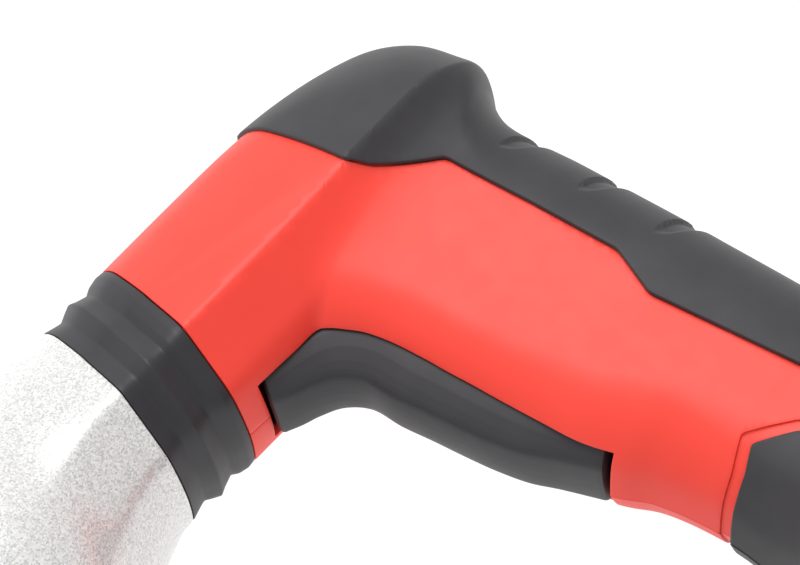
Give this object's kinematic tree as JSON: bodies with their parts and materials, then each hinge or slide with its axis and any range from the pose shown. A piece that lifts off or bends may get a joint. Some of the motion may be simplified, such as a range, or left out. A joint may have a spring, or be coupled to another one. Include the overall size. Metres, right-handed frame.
{
  "type": "battery rescue spreader",
  "caption": "Pistol-grip battery tool with a moulded handle, a cast hydraulic body and two arms that swing apart to spread or pry.",
  "frame": {"origin": "centre of the footprint, on the surface that the tool's right side rests on", "axes": "-X along the barrel to the arms, -Y down the grip to the battery, +Z out of the tool's left side, which faces up"},
  "size_m": [0.504, 0.2979, 0.08],
  "materials": {
    "moulded_red": "fine moulded texture",
    "soft_black": "soft-touch overmould",
    "moulded_black": "moulded, satin",
    "sparkle_silver": "cast and painted sparkle silver",
    "forged_alloy": "forged, bead blasted",
    "ground_steel": "ground",
    "dark_steel": "black oxide",
    "bronze": "turned",
    "winding": "laminated steel and copper",
    "board_green": "solder mask",
    "cell_wrap": "shrink film on steel can"
  },
  "bodies": {
    "tool_body": {"left_housing": "moulded_red", "right_housing": "moulded_red", "rear_cover": "soft_black", "left_foot_pad": "soft_black", "right_foot_pad": "soft_black", "collar": "moulded_black", "hydraulic_body": "sparkle_silver", "motor_can": "ground_steel", "motor_bearing": "ground_steel", "ring_gear": "ground_steel", "oil_bladder": "soft_black", "cylinder_gland": "bronze", "yoke": "forged_alloy", "arm_pin_upper": "ground_steel", "arm_pin_lower": "ground_steel", "carrying_handle": "soft_black", "trigger_pin": "ground_steel", "trigger_spring": "ground_steel", "switch_module": "moulded_black", "control_board": "board_green", "terminal_block": "moulded_black", "housing_screw_1": "dark_steel", "housing_screw_2": "dark_steel", "housing_screw_3": "dark_steel", "housing_screw_4": "dark_steel"},
    "trigger": {"trigger": "moulded_black"},
    "switch_plunger": {"switch_plunger": "moulded_black"},
    "rotor": {"motor_rotor": "winding", "sun_pinion": "ground_steel"},
    "carrier": {"planet_carrier": "ground_steel"},
    "planet_1": {"planet_gear_1": "ground_steel"},
    "planet_2": {"planet_gear_2": "ground_steel"},
    "planet_3": {"planet_gear_3": "ground_steel"},
    "pump_plunger": {"pump_plunger": "ground_steel"},
    "rod": {"piston": "ground_steel", "piston_seal": "soft_black", "piston_rod": "ground_steel", "crosshead": "ground_steel", "crosshead_pin_upper": "ground_steel", "crosshead_pin_lower": "ground_steel"},
    "link_upper": {"link_upper": "ground_steel"},
    "link_lower": {"link_lower": "ground_steel"},
    "arm_upper": {"arm_upper": "forged_alloy", "tip_upper": "ground_steel", "tip_bolt_upper": "dark_steel", "link_pin_upper": "ground_steel"},
    "arm_lower": {"arm_lower": "forged_alloy", "tip_lower": "ground_steel", "tip_bolt_lower": "dark_steel", "link_pin_lower": "ground_steel"},
    "battery": {"battery_case_top": "moulded_black", "battery_case_bottom": "moulded_black", "battery_cell_1": "cell_wrap", "battery_cell_2": "cell_wrap", "battery_cell_3": "cell_wrap", "battery_cell_4": "cell_wrap", "battery_cell_5": "cell_wrap"},
    "latch_left": {"battery_latch_left": "moulded_black"},
    "latch_right": {"battery_latch_right": "moulded_black"},
    "knob": {"direction_knob": "moulded_black"}
  },
  "joints": [
    {"name": "arm_upper_hinge", "type": "hinge", "parent": "tool_body", "child": "arm_upper", "pos_m": [-0.11, 0.0925, 0.04], "axis": [0, 0, -1], "range_deg": [0, 34]},
    {"name": "arm_lower_hinge", "type": "hinge", "parent": "tool_body", "child": "arm_lower", "pos_m": [-0.11, 0.0255, 0.04], "axis": [0, 0, 1], "range_deg": [0, 35]},
    {"name": "rod_slide", "type": "slide", "parent": "tool_body", "child": "rod", "axis": [-1, 0, 0], "range_m": [0, 0.0145]},
    {"name": "link_upper_hinge", "type": "hinge", "parent": "rod", "child": "link_upper", "pos_m": [-0.08101, 0.0685, 0.04], "axis": [0, 0, -1], "range_deg": [0, 2]},
    {"name": "link_lower_hinge", "type": "hinge", "parent": "rod", "child": "link_lower", "pos_m": [-0.08101, 0.0495, 0.04], "axis": [0, 0, 1], "range_deg": [0, 2]},
    {"name": "rotor_spin", "type": "hinge", "parent": "tool_body", "child": "rotor", "pos_m": [0.16, 0.065, 0.04], "axis": [1, 0, 0], "continuous": true},
    {"name": "carrier_spin", "type": "hinge", "parent": "tool_body", "child": "carrier", "pos_m": [0.104, 0.065, 0.04], "axis": [1, 0, 0], "continuous": true},
    {"name": "planet_1_spin", "type": "hinge", "parent": "carrier", "child": "planet_1", "pos_m": [0.112, 0.074, 0.04], "axis": [1, 0, 0], "continuous": true},
    {"name": "planet_2_spin", "type": "hinge", "parent": "carrier", "child": "planet_2", "pos_m": [0.112, 0.0605, 0.04779], "axis": [1, 0, 0], "continuous": true},
    {"name": "planet_3_spin", "type": "hinge", "parent": "carrier", "child": "planet_3", "pos_m": [0.112, 0.0605, 0.03221], "axis": [1, 0, 0], "continuous": true},
    {"name": "pump_stroke", "type": "slide", "parent": "tool_body", "child": "pump_plunger", "axis": [0, -1, 0], "range_m": [0, 0.003], "stiffness_N_per_m": 200},
    {"name": "trigger_hinge", "type": "hinge", "parent": "tool_body", "child": "trigger", "pos_m": [0.184, -0.019, 0.04], "axis": [0, 0, -1], "range_deg": [0, 4.5], "stiffness_Nm_per_rad": 1, "springref_deg": -1.15},
    {"name": "switch_travel", "type": "slide", "parent": "tool_body", "child": "switch_plunger", "axis": [1, 0, 0], "range_m": [0, 0.003]},
    {"name": "battery_slide", "type": "slide", "parent": "tool_body", "child": "battery", "axis": [-1, 0, 0], "range_m": [0, 0.085]},
    {"name": "latch_left_press", "type": "slide", "parent": "battery", "child": "latch_left", "axis": [0, 0, -1], "range_m": [0, 0.003], "stiffness_N_per_m": 200},
    {"name": "latch_right_press", "type": "slide", "parent": "battery", "child": "latch_right", "axis": [0, 0, 1], "range_m": [0, 0.003], "stiffness_N_per_m": 200},
    {"name": "direction_turn", "type": "hinge", "parent": "tool_body", "child": "knob", "pos_m": [0.07, 0.103, 0.04], "axis": [0, 1, 0], "range_deg": [-45, 45]}
  ],
  "couplings": [
    {"joint": "arm_lower_hinge", "follows": "arm_upper_hinge", "ratio": 1},
    {"joint": "rod_slide", "follows": "arm_upper_hinge", "m_per_rad": 0.02366},
    {"joint": "link_upper_hinge", "follows": "arm_upper_hinge", "ratio": 0.03},
    {"joint": "link_lower_hinge", "follows": "arm_upper_hinge", "ratio": 0.03},
    {"joint": "carrier_spin", "follows": "rotor_spin", "ratio": 0.22222},
    {"joint": "switch_travel", "follows": "trigger_hinge", "m_per_rad": 0.034},
    {"joint": "planet_1_spin", "follows": "rotor_spin", "ratio": -0.62222},
    {"joint": "planet_2_spin", "follows": "rotor_spin", "ratio": -0.62222},
    {"joint": "planet_3_spin", "follows": "rotor_spin", "ratio": -0.62222}
  ]
}
